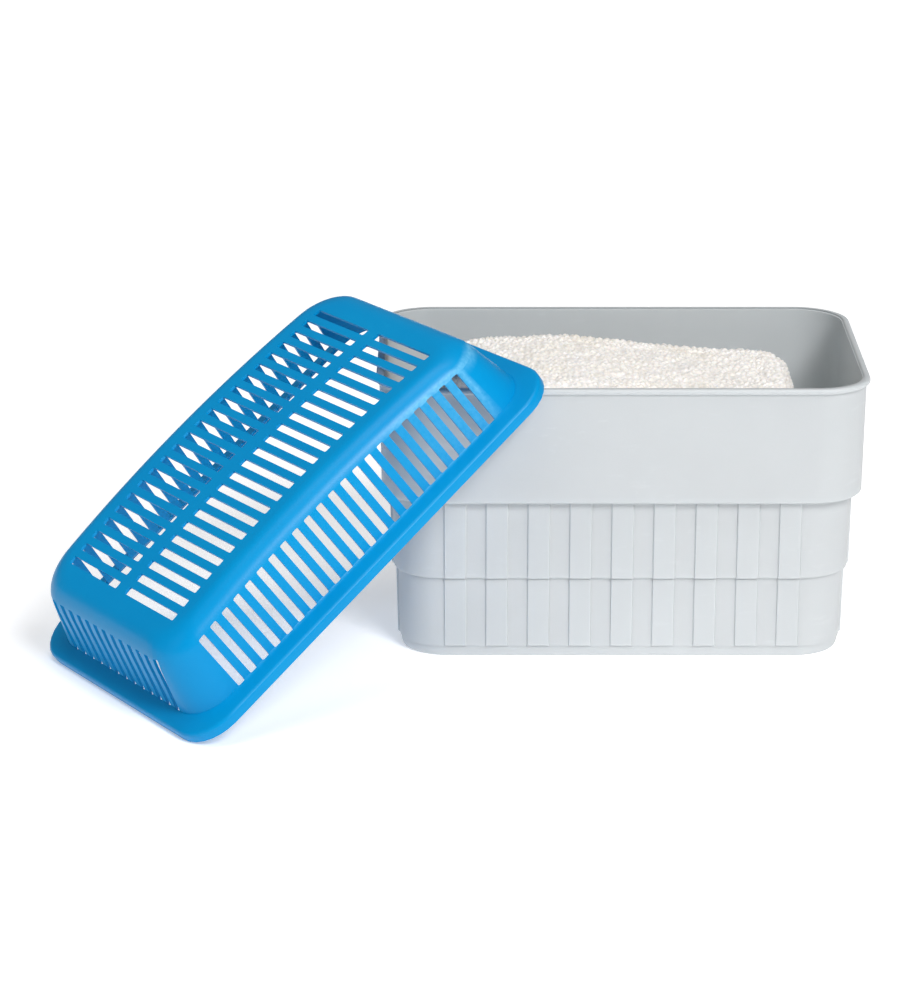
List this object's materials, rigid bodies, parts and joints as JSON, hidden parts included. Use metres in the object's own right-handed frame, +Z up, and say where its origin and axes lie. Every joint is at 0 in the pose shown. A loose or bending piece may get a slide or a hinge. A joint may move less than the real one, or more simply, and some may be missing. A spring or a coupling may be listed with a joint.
{
  "type": "cheese mold",
  "caption": "Two-part cheese mold: a stepped rectangular whey tub holding a curd block, with its slotted draining basket turned over and leaning on the tub's rim.",
  "frame": {"origin": "centre of the tub's flat base, on the surface it stands on", "axes": "+Z up, +X along the tub's length towards the end away from the basket, -Y towards the front that the leaning basket overlaps"},
  "size_m": [0.4518, 0.3012, 0.1867],
  "materials": {
    "tub_plastic": "satin pale grey polypropylene",
    "basket_plastic": "semi-gloss bright blue polypropylene",
    "curd": "moist granular white curd"
  },
  "bodies": {
    "tub": {"tub": "tub_plastic", "curd_block": "curd"},
    "basket": {"draining_basket": "basket_plastic"}
  },
  "joints": [
    {"name": "basket_lift", "type": "slide", "parent": "tub", "child": "basket", "axis": [0, 0, 1], "range_m": [0, 0.2]}
  ]
}
